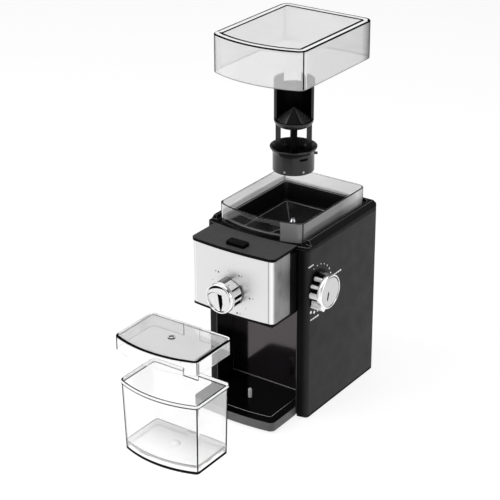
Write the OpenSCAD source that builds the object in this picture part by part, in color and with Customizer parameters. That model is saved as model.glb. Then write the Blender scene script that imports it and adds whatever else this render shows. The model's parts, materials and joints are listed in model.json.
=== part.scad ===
// Electric burr coffee grinder: body with a steel-faced head, hopper with a
// clear collar and lid, lift-out burr carrier, and a clear container with lid.
// Millimetres, +Z up, front towards -Y, origin on the drive axis at the floor.
// The loose pieces are drawn lifted or pulled out of their seats.

/* [Body] */
// Width across the side panels
body_w = 140; // [139:0.5:141]
// Y of the rear wall
body_back = 77.5; // [77:0.5:79]
// Y where the bowed front meets the side panels
body_front = -73.5; // [-74:0.5:-73]
// Forward bow of the front outline
body_bow = 8; // [7.5:0.5:8.5]
// Top of the side shell
shell_top = 216; // [214:1:216]
// Wall thickness of the shell
shell_t = 2.5; // [2:0.1:2.6]
// Top of the raised deck
deck_top = 227; // [225:0.5:227.5]

/* [Head] */
// Half width of the steel-faced head
head_hw = 56.3; // [55.8:0.1:56.4]
// Y where the bowed steel front meets its sides
head_front = -123.9; // [-126:0.1:-122]
// Underside of the head
head_z0 = 139; // [138.5:0.5:139]
// Top edge of the steel panel
steel_top = 218.6; // [218:0.1:218.6]
// Thickness of the steel
steel_t = 0.9; // [0.8:0.1:0.9]

/* [Hopper] */
// Half width of the clear collar
collar_hw = 57.6; // [57.4:0.1:57.6]
// Top of the collar
collar_top = 244.5; // [242:0.5:247]
// Height of the hopper lid
lid_h = 44.5; // [44:0.1:46]
// Seated height of the lid's lower edge
lid_seat = 222.6; // [222.6:0.1:223]

/* [Container] */
// Seated height of the container's lower edge
con_z = 15.7; // [15.7:0.1:16]
// Height of the container
con_h = 87.7; // [87:0.1:88]
// Height of the container lid
clid_h = 17.4; // [16:0.1:17.4]

/* [Controls] */
// Radius of the front knob's face
fknob_r = 18.3; // [17:0.1:19]
// Radius of the side knob's face
sknob_r = 20.6; // [19:0.1:21.5]
// Y of the side knob's axis
side_y = -54.9; // [-55:0.1:-54.5]
// Z of the side knob's axis
side_z = 164.1; // [164:0.1:164.2]
// Z of the front knob's axis
front_z = 169.6; // [168:0.1:171]

/* [Lifted out] */
// How far the burr carrier is lifted
carrier_lift = 122; // [0:1:130]
// How far the hopper lid is lifted above the carrier's own lift
lid_lift = 58.4; // [0:0.1:80]
// How far the container is pulled out
con_pull = 147; // [0:1:170]
// How far the container lid is lifted
clid_lift = 53; // [0:1:60]

/* [Hidden] */
$fn = 64;
hw = body_w/2;
pitch = PI*1.5;          // tooth pitch of the adjuster gears
black = [0.12, 0.12, 0.13];
clear = [0.85, 0.88, 0.9, 0.4];
chrome = [0.8, 0.8, 0.82];
steel = [0.7, 0.7, 0.71];

// Outline with straight sides, a front bowed forward, and round corners.
module bow(w, yb, yf, b, rf, rb) {
    R = (w*w + b*b)/(2*b);
    yC = yf - b + R;
    xc = w - rf;
    yc = yC - sqrt((R - rf)*(R - rf) - xc*xc);
    k = 1.25;
    union() {
        intersection() {
            translate([0, yC]) circle(R, $fn = 180);
            polygon([[0, yC], [-k*xc, yC - k*(yC - yc)], [k*xc, yC - k*(yC - yc)]]);
            translate([-w, yf - b - 5]) square([2*w, yb - rb - yf + b + 5]);
        }
        translate([-w, yc]) square([2*w, yb - rb - yc]);
        for (s = [-1, 1]) translate([s*xc, yc]) circle(rf);
        if (rb > 0) {
            translate([rb - w, yb - 2*rb]) square([2*(w - rb), 2*rb]);
            for (s = [-1, 1]) translate([s*(w - rb), yb - rb]) circle(rb);
        }
    }
}
module slab(z0, z1) translate([0, 0, z0]) linear_extrude(z1 - z0) children();
module box(x0, x1, y0, y1, z0, z1) translate([x0, y0, z0]) cube([x1 - x0, y1 - y0, z1 - z0]);
module rod(r, z0, z1) translate([0, 0, z0]) cylinder(r = r, h = z1 - z0);
module rrect(x0, x1, y0, y1, r) union() {
    translate([x0 + r, y0]) square([x1 - x0 - 2*r, y1 - y0]);
    translate([x0, y0 + r]) square([x1 - x0, y1 - y0 - 2*r]);
    for (x = [x0 + r, x1 - r], y = [y0 + r, y1 - r]) translate([x, y]) circle(r);
}
// Along-Y and along-X placing: local +Z points out of the panel.
module out_y(y, z) translate([0, y, z]) rotate([90, 0, 0]) children();
module out_x(x, y, z) translate([x, y, z]) rotate([0, 90, 0]) children();
// Helical wire as one swept body.
module coil(r, wire, h, turns) {
    n = turns*14; m = 8;
    pts = [for (i = [0:n], j = [0:m-1]) let (a = 360*turns*i/n, q = 360*j/m)
        [(r + wire*cos(q))*cos(a), (r + wire*cos(q))*sin(a), wire + (h - 2*wire)*i/n + wire*sin(q)]];
    sides = [for (i = [0:n-1], j = [0:m-1]) [i*m + j, i*m + (j+1)%m, (i+1)*m + (j+1)%m, (i+1)*m + j]];
    polyhedron(pts, concat([[for (j = [0:m-1]) m-1-j]], sides, [[for (j = [0:m-1]) n*m + j]]));
}

// ---- fixed housing ----
module outer_shell() color(black) {
    difference() {
        union() {
            difference() {
                slab(1.5, shell_top) difference() {
                    bow(hw, body_back, body_front, body_bow, 5, 7);
                    bow(hw - shell_t, body_back - shell_t, body_front + shell_t, body_bow - 0.3, 3, 4.5);
                }
                box(-57, 57, -100, -60, 0, 230);
            }
            for (s = [-1, 1]) {
                translate([s*63, 60, 0]) rod(4.6, 4.1, 26);
                translate([s*63, -58, 0]) rod(4.6, 4.1, 26);
            }
        }
        for (x = [-63, 63], y = [60, -58]) translate([x, y, 0]) rod(1.6, 4, 22);
        out_x(60, side_y, side_z) cylinder(r = 7, h = 20);
        translate([0, 70, 26]) rotate([-90, 0, 0]) cylinder(r = 6.5, h = 20);
        for (i = [0:7]) box(-32, 32, 70, 80, 52 + i*7, 55 + i*7);
    }
}
module base_plate() color(black) difference() {
    slab(1.5, 4) rrect(-67.2, 67.2, -68, 74.6, 4);
    box(-58, 58, -100, -44.8, 0, 10);
    for (x = [-63, 63], y = [60, -58]) translate([x, y, 0]) { rod(1.7, 1, 5); rod(3.4, 1, 3); }
    for (x = [-40:10:40]) box(x - 2, x + 2, 36, 66, 1, 5);
}
module rubber_feet() color([0.2, 0.2, 0.2]) {
    for (s = [-1, 1]) {
        translate([s*52, 66, 0]) rod(6, 0, 1.5);
        translate([s*46, -112, 0]) rod(7, 0, 3.7);
    }
}
module base_screws() color(steel) for (x = [-63, 63], y = [60, -58]) translate([x, y, 0]) {
    rod(1.5, 2.8, 20);
    difference() { rod(3.2, 1.6, 2.9); box(-2.2, 2.2, -0.4, 0.4, 1, 2.3); box(-0.4, 0.4, -2.2, 2.2, 1, 2.3); }
}
module top_deck() color(black) difference() {
    union() {
        slab(216.6, deck_top) bow(hw, body_back, body_front, body_bow, 5, 7);
        slab(212, 217) bow(67.3, 74.8, -70.8, 7.7, 3, 4.3);
    }
    for (s = [-1, 1]) translate([s*69.2, 0, 221]) rotate([0, -s*31.7, 0]) box(s > 0 ? 0 : -20, s > 0 ? 20 : 0, -120, 120, -5, 30);
    translate([0, 76.7, 221]) rotate([33, 0, 0]) box(-120, 120, 0, 20, -5, 30);
    slab(200, 240) bow(55.7, 66.5, -65.1, 11.25, 7, 7);
    slab(221, 240) bow(61.5, 71.9, -74, 13.1, 11, 11);
    box(-80, 80, -100, -67, 221, 240);
    slab(200, 216.6) bow(64.8, 72.3, -68.3, 7.4, 2, 2);
    box(-60, 60, -100, -55, 200, 216.6);
}
module hopper_bowl() color([0.05, 0.05, 0.05]) difference() {
    union() {
        slab(200, 227) bow(55.4, 66.2, -64.8, 11.2, 6.8, 6.8);
        hull() {
            slab(200, 200.1) bow(54.4, 65.2, -63.8, 11, 6, 6);
            rod(32.5, 184, 184.1);
        }
    }
    slab(203, 240) bow(52.6, 63.4, -62, 10.9, 5.2, 5.2);
    hull() {
        slab(203, 203.1) bow(48.5, 59.4, -58, 10, 4, 4);
        rod(31, 188, 188.1);
    }
    rod(28.7, 180, 210);
}
module hopper_collar() color(clear) slab(221, collar_top) difference() {
    bow(collar_hw, 68.4, -67, 11.5, 9, 9);
    bow(collar_hw - 2, 66.4, -65, 11.3, 7, 7);
}
module bay_liner() color([0.07, 0.07, 0.08]) difference() {
    union() {
        for (s = [-1, 1]) box(s > 0 ? 55.9 : -56.9, s > 0 ? 56.9 : -55.9, -77, -43, 4.1, head_z0 - 0.1);
        box(-55.9, 55.9, -45, -43, 4.1, head_z0 - 0.1);
        box(-56.9, 56.9, -77, -43, head_z0 - 0.1, head_z0 + 2);
    }
    box(-9.3, 9.3, -50, -40, 94.7, 103.3);
}
module base_tray() color(black) difference() {
    union() {
        slab(3.7, 15) bow(56.6, -77.9, -125.5, 5, 7, 0);
        box(-55, 55, -78, -45.1, 3.7, 15);
        slab(15, 15.4) bow(46, -47, -114, 5, 3, 2);
    }
    box(-16, 16, -106, -74, 3, 13.2);
    translate([0, -89.5, 0]) rod(2.35, 10, 20);
}
module tray_cover() color([0.1, 0.1, 0.1]) union() {
    box(-18, 18, -108, -72, 2.2, 3.7);
}
module head_housing() color(black) difference() {
    union() {
        slab(head_z0 + 0.2, 216) bow(head_hw - 1, -91.2, head_front + 1, 3.4, 5, 0);
        box(-head_hw, head_hw, -91.2, -77.6, head_z0, 216);
    }
    box(-53, 53, -118.5, -70, head_z0 + 2.5, 213.5);
    slab(213, 217) rrect(-12.7, 12.7, -119, -106, 2);
    out_y(-110, front_z) cylinder(r = 5, h = 30);
}
module steel_front_panel() color(steel) difference() {
    slab(head_z0, steel_top) difference() {
        bow(head_hw, -91.2, head_front, 3.5, 6, 0);
        bow(head_hw - steel_t, -80, head_front + steel_t, 3.45, 5.1, 0);
    }
    out_y(-110, front_z) cylinder(r = 5, h = 30);
}
module head_cover() color(black) difference() {
    union() {
        slab(218.8, 222.3) bow(56.6, -70, head_front - 0.3, 3.5, 6.2, 0);
        slab(216.1, 218.8) bow(54.9, -70, head_front + 1.8, 3.4, 4.6, 0);
    }
    slab(210, 230) bow(hw + 0.2, 78, -73.7, 8.1, 5, 7);
    slab(210, 230) rrect(-12.6, 12.6, -118.9, -106.1, 2);
}
module side_dial_plate() color([0.04, 0.04, 0.04]) out_x(hw, side_y, side_z) difference() {
    union() { cylinder(r = 23.2, h = 0.6); cylinder(r = 21.8, h = 1); }
    translate([0, 0, -1]) cylinder(r = 7.2, h = 4);
    translate([-30, -32.5, -1]) cube([60, 20, 4]);
}
// Sixteen dots of growing size around the side knob.
module side_dial_marks() color("white") out_x(hw, side_y, side_z)
    for (i = [1:16]) rotate([0, 0, 212 - i*15]) translate([28.75, 0, 0]) cylinder(r = 0.5 + 0.085*i, h = 0.25, $fn = 24);
module side_bush() color(steel) out_x(59.5, side_y, side_z) difference() {
    union() { cylinder(r = 6.8, h = 10.3); cylinder(r = 9, h = 7.9); }
    translate([0, 0, -1]) cylinder(r = 3.05, h = 20);
}
module rack_guide() color([0.25, 0.25, 0.26]) union() {
    box(40, 67.5, -44, -22, 180.2, 183);
    box(48.5, 50.6, -44, -22, 174, 180.2);
}
module grinding_chamber() color([0.2, 0.2, 0.22]) difference() {
    rod(33, 118, 159.4);
    rod(29, 129, 160);
    rod(27, 117, 126);
    rod(4.6, 120, 140);
    box(-9.4, 9.4, -40, 0, 130.5, 148);
    for (a = [20, 160, 200, 340]) rotate([0, 0, a]) translate([30, 0, 0]) rod(1.6, 117, 124);
}
module chamber_screws() color(steel) for (a = [20, 160, 200, 340]) rotate([0, 0, a]) translate([30, 0, 0]) {
    rod(1.5, 109.8, 123.5);
    rod(2.7, 108.4, 111.9);
}
module grounds_chute() color([0.1, 0.1, 0.1]) difference() {
    union() {
        box(-11, 11, -42.9, -33.3, 91, 150);
        box(-9, 9, -58.4, -42.9, 95, 103);
    }
    box(-9.4, 9.4, -41.4, -34.8, 95.5, 148.5);
    box(-9.4, 9.4, -36, -30, 130.5, 148);
    box(-7.8, 7.8, -60, -41, 96.2, 101.8);
}
module motor_stator() color([0.55, 0.55, 0.58]) slab(45, 85) difference() {
    rrect(-31, 31, -31, 31, 8);
    circle(17.7);
    for (s = [-1, 1]) translate([s*15 - 8, -12]) square([16, 24]);
}
module motor_coils() color([0.72, 0.4, 0.15]) {
    for (z = [[38, 44.9], [85.1, 92]]) slab(z[0], z[1]) difference() { rrect(-27, 27, -22, 22, 9); rrect(-19.5, 19.5, -18.5, 18.5, 7); }
    for (s = [-1, 1]) box(s > 0 ? 18.2 : -22.8, s > 0 ? 22.8 : -18.2, -11.8, 11.8, 44.9, 85.1);
}
module motor_top_bracket() color([0.6, 0.6, 0.62]) difference() {
    union() {
        slab(112, 118) difference() { rrect(-32, 32, -32, 32, 8); circle(11.02); }
        for (x = [-25, 25], y = [-25, 25]) translate([x, y, 0]) rod(3.5, 85, 112.1);
    }
    for (a = [20, 160, 200, 340]) rotate([0, 0, a]) translate([30, 0, 0]) rod(1.6, 110, 120);
}
module motor_bottom_bracket() color([0.6, 0.6, 0.62]) difference() {
    union() {
        slab(12, 18) rrect(-34, 34, -34, 34, 8);
        for (x = [-25, 25], y = [-25, 25]) translate([x, y, 0]) rod(3.5, 18, 45);
    }
    rod(11.02, 10, 20);
    for (x = [-17, 17], y = [-17, 17]) translate([x, y, 0]) rod(6, 10, 20);
}
module motor_mounts() color([0.15, 0.15, 0.15]) for (x = [-28, 28], y = [-28, 28]) translate([x, y, 0]) { rod(5, 4, 12); }
module bearing(z0, z1) difference() {
    rod(11, z0, z1);
    rod(4, z0 - 1, z1 + 1);
    for (z = [z0 - 0.6, z1 - 0.6]) translate([0, 0, z]) difference() { cylinder(r = 9, h = 1.2); translate([0, 0, -1]) cylinder(r = 6.4, h = 4); }
}
module top_bearing() color(steel) difference() { bearing(112, 118); rod(4.05, 100, 130); }
module bottom_bearing() color(steel) difference() { bearing(12, 18); rod(4.05, 0, 30); }
module brush_holders() color([0.3, 0.2, 0.1]) for (s = [-1, 1]) difference() {
    box(s > 0 ? 13 : -28, s > 0 ? 28 : -13, -5, 5, 94, 111.9);
    box(-40, 40, -3.1, 3.1, 95.4, 101.6);
}
module carbon_brushes() color([0.1, 0.1, 0.1]) for (s = [-1, 1]) box(s > 0 ? 10.2 : -24, s > 0 ? 24 : -10.2, -3, 3, 95.5, 101.5);
module timer_switch() color([0.15, 0.25, 0.2]) difference() {
    union() {
        slab(155, 184) rrect(-14, 14, -118.3, -106, 2);
        out_y(-118, front_z) cylinder(r = 4.8, h = 7);
    }
    out_y(-104, front_z) cylinder(r = 3.05, h = 30);
}
module start_switch() color([0.1, 0.1, 0.12]) union() {
    box(-8, 8, -118.3, -106.5, 196, 203);
    translate([0, -112.5, 0]) rod(1.6, 203, 204);
}
module start_spring() color(steel) translate([0, -112.5, 203]) coil(3.4, 0.35, 13.9, 6);
module safety_switch() color([0.1, 0.1, 0.12]) union() {
    box(-15, -5.4, -99, -80, 3.7, 10);
    box(-9, -5.4, -92, -87, 10, 10.8);
}
module pin_spring() color(steel) translate([0, -89.5, 3.7]) coil(3.2, 0.3, 7.9, 6);
module control_board() color([0.05, 0.3, 0.15]) box(-63.2, -61.6, -36, 34, 96, 140);
module board_parts() color([0.2, 0.2, 0.25]) {
    box(-61.6, -48, -30, -12, 100, 116);
    translate([-61.6, 6, 112]) rotate([0, 90, 0]) cylinder(r = 7, h = 16);
    translate([-61.6, 24, 112]) rotate([0, 90, 0]) cylinder(r = 5, h = 12);
    for (i = [0:4]) box(-61.6, -56, -28 + i*11, -23 + i*11, 124, 128);
}
module cord_gland() color([0.08, 0.08, 0.08]) translate([0, 0, 26]) rotate([-90, 0, 0]) difference() {
    union() {
        translate([0, 0, 71.4]) cylinder(r = 6.4, h = 8);
        translate([0, 0, body_back]) cylinder(r = 9, h = 2.4);
        translate([0, 0, 72]) cylinder(r = 9, h = 2.9);
        translate([0, 0, body_back + 2.3]) cylinder(r1 = 7.2, r2 = 5.6, h = 5);
    }
    translate([0, 0, 70.5]) cylinder(r = 3.6, h = 30);
}

// ---- moving pieces of the controls ----
module start_button() color([0.1, 0.1, 0.11]) union() {
    slab(217, 226.2) rrect(-12.2, 12.2, -118.5, -106.5, 1.6);
    translate([0, -112.5, 0]) rod(2.2, 207.3, 217);
}
// Knob with its axis on +Z: straight fluted sides, a wide rimmed face with a grip scoop.
module knob(fr, h, br, bore, flutes, fw) difference() {
    rotate_extrude() polygon([[0, 0], [br - 0.6, 0], [br, 0.6], [br, h - 6], [fr, h - 5], [fr, h - 1.6], [fr - 1.2, h - 0.4], [fr - 2.6, h], [0, h]]);
    for (a = flutes) rotate([0, 0, a]) translate([br + 0.25*fw, 0, -1]) cylinder(r = fw, h = h - 6, $fn = 24);
    intersection() {
        translate([0, 0, h - 3]) cylinder(r = fr - 4, h = 5);
        translate([-fr*0.72, -fr*0.1, h - 4]) cylinder(r = fr*0.9, h = 6);
    }
    translate([0, 0, -1]) cylinder(r = bore, h = h - 4);
}
// The front knob also has a flat for the pointer dot.
module front_knob() color(chrome) out_y(-128.2, front_z) difference() {
    knob(fknob_r, 21.8, fknob_r - 0.9, 3.05, [6, -21, -55, -85, -115, -145, -175, 155], 2.2);
    rotate([0, 0, 67]) translate([15.4, -20, -1]) cube([10, 40, 16.2]);
}
module front_spindle() color(steel) out_y(-107, front_z) cylinder(r = 3, h = 37);
// The side knob also has a pointer rib that stands out past its rim.
module side_knob() color(chrome) out_x(hw + 1.4, side_y, side_z) union() {
    knob(sknob_r, 16.6, sknob_r - 0.6, 3.05, [for (a = [166, 206, 258, 292, 326, 359, 33, 67, 100, 134]) a + 90], 4.6);
    rotate([0, 0, 322]) translate([sknob_r - 5, -3.2, 0.6]) cube([8.5, 6.4, 15]);
}
module side_spindle() color(steel) out_x(38, side_y, side_z) cylinder(r = 3, h = 44);
module side_pinion() color([0.85, 0.8, 0.6]) out_x(42.8, side_y, side_z) difference() {
    union() {
        cylinder(r = 7.8, h = 6);
        for (i = [0:11]) rotate([0, 0, i*30 + 15]) translate([7, -0.9, 0]) cube([3.2, 1.8, 6]);
        translate([0, 0, 6]) cylinder(r = 5.5, h = 4);
    }
    translate([0, 0, -1]) cylinder(r = 3.05, h = 20);
}
module adjust_rack() color([0.85, 0.8, 0.6]) union() {
    box(42.4, 48, -75, 20, 174.7, 179.7);
    box(39.6, 42.5, -20, 20, 174.7, 179.7);
    for (k = [-4:4]) {
        box(42.8, 48, side_y + k*pitch - 0.9, side_y + k*pitch + 0.9, 172.4, 174.8);
        box(36.8, 39.7, k*pitch - 0.9, k*pitch + 0.9, 174.7, 179.7);
    }
}
module adjust_ring() color([0.85, 0.8, 0.6]) difference() {
    union() {
        rod(34, 160, 180);
        rod(36.2, 174.7, 179.7);
        for (i = [0:49]) rotate([0, 0, (i + 0.5)*7.2]) box(35, 38.6, -0.9, 0.9, 174.7, 179.7);
    }
    rod(25.2, 150, 190);
    rod(28.9, 172, 190);
    rod(28.9, 150, 168);
}

// ---- turning drive ----
module drive_shaft() color(steel) union() {
    rod(4, 10.5, 210);
    translate([0, 0, 210]) cylinder(r1 = 4, r2 = 2.4, h = 3);
}
module rotor() color([0.5, 0.42, 0.36]) difference() {
    union() {
        slab(45.5, 84.5) difference() {
            circle(17.2);
            for (i = [0:11]) rotate([0, 0, i*30]) translate([14, -1]) square([5, 2]);
        }
        rod(14, 38.5, 45.6);
        rod(14, 84.4, 91);
    }
    rod(4, 30, 100);
}
module commutator() color([0.75, 0.45, 0.2]) difference() {
    rod(10, 92, 104);
    for (i = [0:11]) rotate([0, 0, i*30]) box(9.2, 11, -0.25, 0.25, 93, 105);
    rod(4, 80, 110);
}
module cooling_fan() color([0.2, 0.2, 0.22]) difference() {
    union() {
        rod(8, 22, 34);
        rod(26, 22, 23.4);
        for (i = [0:10]) rotate([0, 0, i*360/11]) translate([7, -0.8, 23]) cube([18, 1.6, 9]);
    }
    rod(4, 10, 40);
}
module impeller() color([0.85, 0.8, 0.6]) difference() {
    union() {
        rod(9, 129.6, 138.5);
        rod(27, 134.6, 136.5);
        for (i = [0:5]) rotate([0, 0, i*60]) translate([8, -0.9, 130]) cube([19.6, 1.8, 4.8]);
    }
    rod(4, 120, 140);
}
module lower_burr() color([0.45, 0.45, 0.47]) difference() {
    union() {
        rod(21.5, 138.5, 148.2);
        translate([0, 0, 148.2]) cylinder(r1 = 21.5, r2 = 9, h = 4.6);
        for (i = [0:23]) rotate([0, 0, i*15]) translate([12.4, -0.5, 150.6]) rotate([0, 20.2, 0]) cube([9, 1, 1.2]);
    }
    rod(4, 120, 160);
}
module burr_nut() color(steel) difference() {
    translate([0, 0, 152.8]) cylinder(r = 7, h = 5, $fn = 6);
    rod(4, 140, 170);
}

// ---- lift-out burr carrier ----
module burr_carrier() color(black) translate([0, 0, carrier_lift]) rotate([0, 0, 35]) difference() {
    union() {
        // cup with flared rim
        rotate_extrude() polygon([[12, 158], [22.9, 158], [22.9, 154.4], [24.2, 154.4], [24.2, 175], [25, 178], [27.5, 181.8], [27.5, 182.9], [25.7, 182.9], [23, 178], [21.6, 175], [21.6, 161], [12, 161]]);
        // four legs
        for (i = [0:3]) rotate([0, 0, i*90]) box(-3.5, 3.5, -20.8, -14.8, 160.5, 210.5);
        // feeding cone and the rounded lower end of the shield
        rotate_extrude() polygon([[0, 216.5], [5.4, 216.5], [5.4, 209.9], [13.4, 209.9], [13.4, 207.9], [17.4, 207.9], [20.4, 209.5], [22.2, 212.1], [22.9, 214.6], [22.9, 215.6], [20.1, 215.6], [20.1, 214.9], [2.6, 227.9], [1.4, 228.9], [0, 229.1]]);
        // shield
        difference() {
            slab(215.5, 264) difference() { circle(22.9); circle(20.1); }
            box(-30, 30, -30, -4, 215.6, 270);
            box(-11, 11, -30, 30, 254, 270);
        }
        // bayonet lugs
        for (a = [0, 140]) rotate([0, 0, a]) box(23.6, 27.7, -2, 2, 172.6, 174.6);
    }
    rotate([0, 0, 28]) box(-5.2, 5.2, -40, -22.4, 171.6, 174.4);
}
module upper_burr() color([0.5, 0.5, 0.52]) translate([0, 0, carrier_lift]) difference() {
    rod(22.6, 154.7, 158);
    translate([0, 0, 154.6]) cylinder(r1 = 20, r2 = 12, h = 2.6);
    rod(12, 150, 160);
    for (i = [0:17]) rotate([0, 0, i*20]) box(16, 24, -0.7, 0.7, 150, 155.7);
}
module carrier_screws() color(chrome) translate([0, 0, carrier_lift]) rotate([0, 0, 35])
    for (a = [-26, 26, 154, 206]) rotate([0, 0, a]) translate([0, -24.2, 158.4]) rotate([90, 0, 0]) cylinder(r = 1.4, h = 0.75, $fn = 24);

// ---- clear loose pieces ----
module hopper_lid() color(clear) translate([0, 0, carrier_lift + lid_lift]) difference() {
    slab(lid_seat, lid_seat + lid_h) bow(60.3, 70.9, -73, 13, 10.5, 10.5);
    slab(lid_seat - 1, lid_seat + lid_h - 2) bow(58.3, 68.9, -71, 12.8, 8.7, 8.7);
    slab(lid_seat + lid_h - 0.7, lid_seat + lid_h + 1) bow(51.8, 62.4, -64.5, 12, 6, 6);
}
module interlock_pin() color(chrome) translate([0, -89.5, 0]) union() {
    rod(2.3, 12, 25.6);
    translate([0, 0, 25.6]) cylinder(r1 = 2.3, r2 = 1.3, h = 1.4);
    rod(4.4, 11.7, 13);
}
module container() color(clear) translate([0, -con_pull, 0]) {
    z1 = con_z + con_h;
    difference() {
        union() {
            difference() {
                union() {
                    hull() {
                        slab(con_z, con_z + 0.1) bow(50.5, -57.2, -113.8, 10.2, 5, 5);
                        slab(z1 - 4, z1 - 3.9) bow(52.4, -55.6, -115.4, 10.7, 5.5, 5.5);
                    }
                    slab(z1 - 4, z1) bow(53.4, -54.6, -116.4, 10.8, 6, 6);
                }
                hull() {
                    slab(con_z + 10.2, con_z + 10.3) bow(48.5, -59.2, -111.8, 9.8, 3, 3);
                    slab(z1 + 0.1, z1 + 0.2) bow(50.4, -57.6, -113.4, 10.3, 3.5, 3.5);
                }
                hull() {
                    slab(con_z - 0.1, con_z) bow(48.5, -59.2, -111.8, 9.8, 3, 3);
                    slab(con_z + 7.9, con_z + 8) bow(48.6, -59.1, -111.9, 9.8, 3, 3);
                }
                box(-10.5, 10.5, -70, -50, con_z + 78.4, z1 + 5);
                box(-6, 6, -70, -50, con_z - 1, con_z + 8);
            }
            // dome over the interlock pin
            translate([0, -89.5, con_z + 10.1]) intersection() {
                translate([0, 0, -5]) sphere(r = 9);
                translate([-20, -20, 0]) cube([40, 40, 30]);
            }
        }
        translate([0, -89.5, con_z + 5.1]) sphere(r = 7);
    }
}
module container_lid() color(clear) translate([0, -con_pull, clid_lift]) {
    z1 = con_z + con_h + 3;
    difference() {
        slab(z1 - clid_h, z1) bow(55.4, -52.5, -118.5, 11, 7, 7);
        slab(z1 - clid_h - 1, z1 - 2) bow(53.9, -54.1, -116.9, 10.9, 5.4, 5.4);
        box(-11, 11, -58, -50, z1 - clid_h - 1, z1 - 2.2);
    }
    translate([0, -89.5, 0]) difference() { rod(4.2, z1, z1 + 1.1); rod(2.6, z1, z1 + 2); }
}

outer_shell();
base_plate();
rubber_feet();
base_screws();
top_deck();
hopper_bowl();
hopper_collar();
bay_liner();
base_tray();
tray_cover();
head_housing();
steel_front_panel();
head_cover();
side_dial_plate();
side_dial_marks();
side_bush();
rack_guide();
grinding_chamber();
chamber_screws();
grounds_chute();
motor_stator();
motor_coils();
motor_top_bracket();
motor_bottom_bracket();
motor_mounts();
top_bearing();
bottom_bearing();
brush_holders();
carbon_brushes();
timer_switch();
start_switch();
start_spring();
safety_switch();
pin_spring();
control_board();
board_parts();
cord_gland();
start_button();
front_knob();
front_spindle();
side_knob();
side_spindle();
side_pinion();
adjust_rack();
adjust_ring();
drive_shaft();
rotor();
commutator();
cooling_fan();
impeller();
lower_burr();
burr_nut();
burr_carrier();
upper_burr();
carrier_screws();
hopper_lid();
interlock_pin();
container();
container_lid();
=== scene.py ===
import bpy, bmesh, json, math
from mathutils import Matrix, Vector

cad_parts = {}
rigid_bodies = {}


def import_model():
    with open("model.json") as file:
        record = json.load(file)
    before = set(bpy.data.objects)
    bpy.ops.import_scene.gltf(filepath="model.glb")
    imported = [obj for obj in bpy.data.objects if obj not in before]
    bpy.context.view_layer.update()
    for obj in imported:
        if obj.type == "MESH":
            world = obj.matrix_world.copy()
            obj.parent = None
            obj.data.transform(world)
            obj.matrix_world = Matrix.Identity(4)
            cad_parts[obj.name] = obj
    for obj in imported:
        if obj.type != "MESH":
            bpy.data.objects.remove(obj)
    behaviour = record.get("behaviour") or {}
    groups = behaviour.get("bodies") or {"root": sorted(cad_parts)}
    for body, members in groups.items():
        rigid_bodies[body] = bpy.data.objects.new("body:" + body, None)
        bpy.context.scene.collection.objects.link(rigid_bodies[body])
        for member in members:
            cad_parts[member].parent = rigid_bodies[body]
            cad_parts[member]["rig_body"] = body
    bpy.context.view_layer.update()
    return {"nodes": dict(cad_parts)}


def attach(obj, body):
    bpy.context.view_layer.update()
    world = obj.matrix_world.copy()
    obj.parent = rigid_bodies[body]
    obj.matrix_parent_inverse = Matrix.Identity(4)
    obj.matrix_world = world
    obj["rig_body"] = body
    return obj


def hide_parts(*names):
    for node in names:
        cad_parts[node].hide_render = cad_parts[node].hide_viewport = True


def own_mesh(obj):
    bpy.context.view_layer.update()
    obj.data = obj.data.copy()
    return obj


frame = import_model()
NODES = frame["nodes"]
scene = bpy.context.scene
sin, cos, pi, rad = math.sin, math.cos, math.pi, math.radians

# ------------------------------------------------------------------ camera
AZ, EL, ROLL = rad(34.98), rad(25.04), rad(0.28)
right = Vector((cos(AZ), sin(AZ), 0))
fwd = Vector((-sin(AZ) * cos(EL), cos(AZ) * cos(EL), -sin(EL)))
down = fwd.cross(right)
right, down = cos(ROLL) * right + sin(ROLL) * down, -sin(ROLL) * right + cos(ROLL) * down
cam_data = bpy.data.cameras.new("camera")
cam_data.sensor_width = 36.0
cam_data.lens = 115.2
cam_data.clip_end = 60
cam = bpy.data.objects.new("camera", cam_data)
scene.collection.objects.link(cam)
M = Matrix.Identity(4)
for i, axis in enumerate((right, -down, -fwd)):
    for j in range(3):
        M[j][i] = axis[j]
for j, v in enumerate((0.9417, -1.4342, 0.9737)):
    M[j][3] = v
cam.matrix_world = M
scene.camera = cam
scene.view_settings.view_transform = "Standard"
scene.view_settings.look = "None"


# ------------------------------------------------------------------ materials
def tree(name):
    m = bpy.data.materials.new(name)
    m.use_nodes = True
    nt = m.node_tree
    return m, nt, nt.nodes["Principled BSDF"]


def coords(nt, scale=(1, 1, 1)):
    tc = nt.nodes.new("ShaderNodeTexCoord")
    mp = nt.nodes.new("ShaderNodeMapping")
    mp.inputs["Scale"].default_value = scale
    nt.links.new(tc.outputs["Object"], mp.inputs["Vector"])
    return mp.outputs["Vector"]


def noise(nt, vec, scale, detail=3.0, rough=0.55):
    n = nt.nodes.new("ShaderNodeTexNoise")
    n.inputs["Scale"].default_value = scale
    n.inputs["Detail"].default_value = detail
    n.inputs["Roughness"].default_value = rough
    nt.links.new(vec, n.inputs["Vector"])
    return n.outputs["Fac"]


def ramp(nt, fac, stops):
    r = nt.nodes.new("ShaderNodeValToRGB")
    e = r.color_ramp.elements
    while len(e) < len(stops):
        e.new(0.5)
    for el, (p, c) in zip(e, stops):
        el.position = p
        el.color = (*c, 1)
    nt.links.new(fac, r.inputs["Fac"])
    return r.outputs["Color"]


def span(nt, fac, lo, hi, a=0.3, b=0.7):
    r = nt.nodes.new("ShaderNodeMapRange")
    r.inputs["From Min"].default_value = a
    r.inputs["From Max"].default_value = b
    r.inputs["To Min"].default_value = lo
    r.inputs["To Max"].default_value = hi
    nt.links.new(fac, r.inputs["Value"])
    return r.outputs["Result"]


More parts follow.
